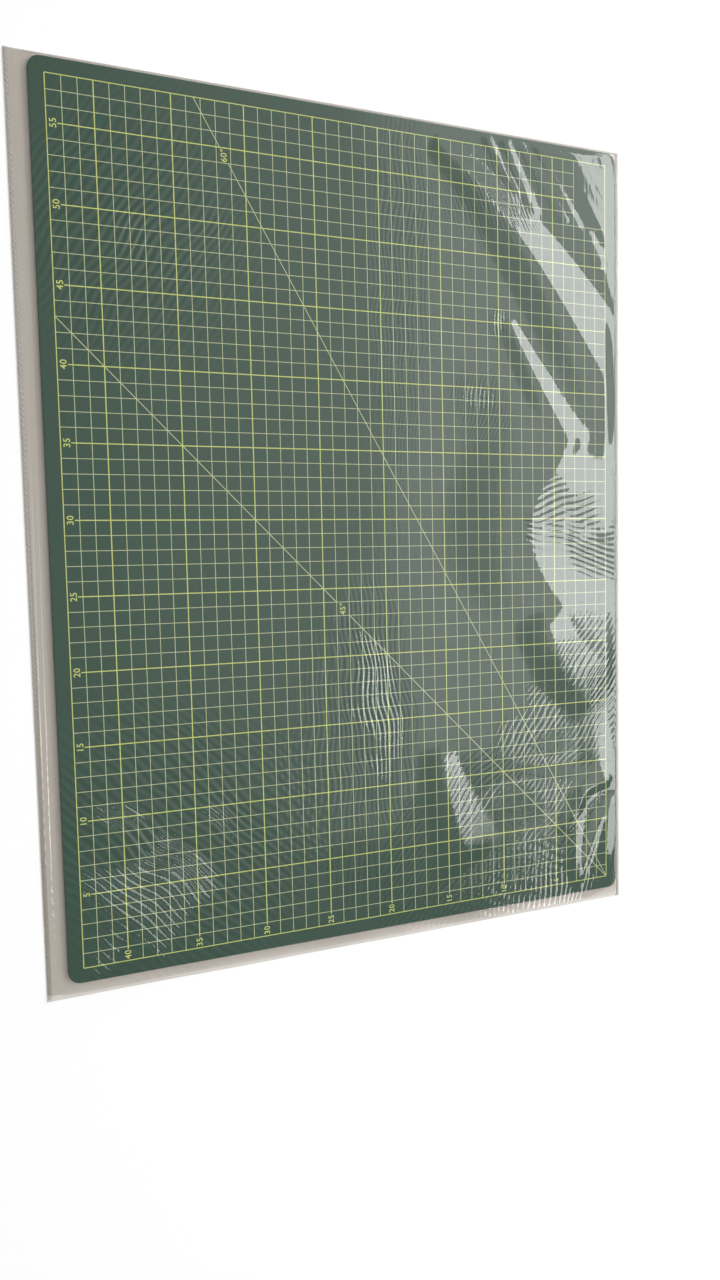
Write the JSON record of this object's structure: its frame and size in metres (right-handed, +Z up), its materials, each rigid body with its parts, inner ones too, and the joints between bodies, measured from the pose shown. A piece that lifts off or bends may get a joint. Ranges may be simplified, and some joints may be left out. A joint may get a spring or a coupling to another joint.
{
  "type": "cutting mat in sleeve",
  "caption": "Flat rectangular self-healing cutting mat with a printed centimetre grid and angle guide lines, lying in a clear film sleeve that it slides out of",
  "frame": {"origin": "under the middle of the sleeve's outline, on the surface that it lies on", "axes": "+X across the mat to the right of the printed face, +Y along the mat to the sleeve's closed end, +Z up out of the printed face"},
  "size_m": [0.4696, 0.613, 0.0039],
  "materials": {
    "green_pvc": "satin",
    "grey_core": "matte",
    "yellow_ink": "satin",
    "clear_film": "gloss"
  },
  "bodies": {
    "sleeve": {"rear_panel": "clear_film", "front_panel": "clear_film", "right_flank": "clear_film", "end_flank": "clear_film", "left_flank": "clear_film", "left_weld": "clear_film", "right_weld": "clear_film", "end_fold": "clear_film"},
    "mat": {"bottom_skin": "green_pvc", "core_sheet": "grey_core", "top_skin": "green_pvc", "grid_print": "yellow_ink", "guide_line_45": "yellow_ink", "guide_line_60": "yellow_ink"}
  },
  "joints": [
    {"name": "mat_slide", "type": "slide", "parent": "sleeve", "child": "mat", "axis": [0, -1, 0], "range_m": [0, 0.615]}
  ]
}
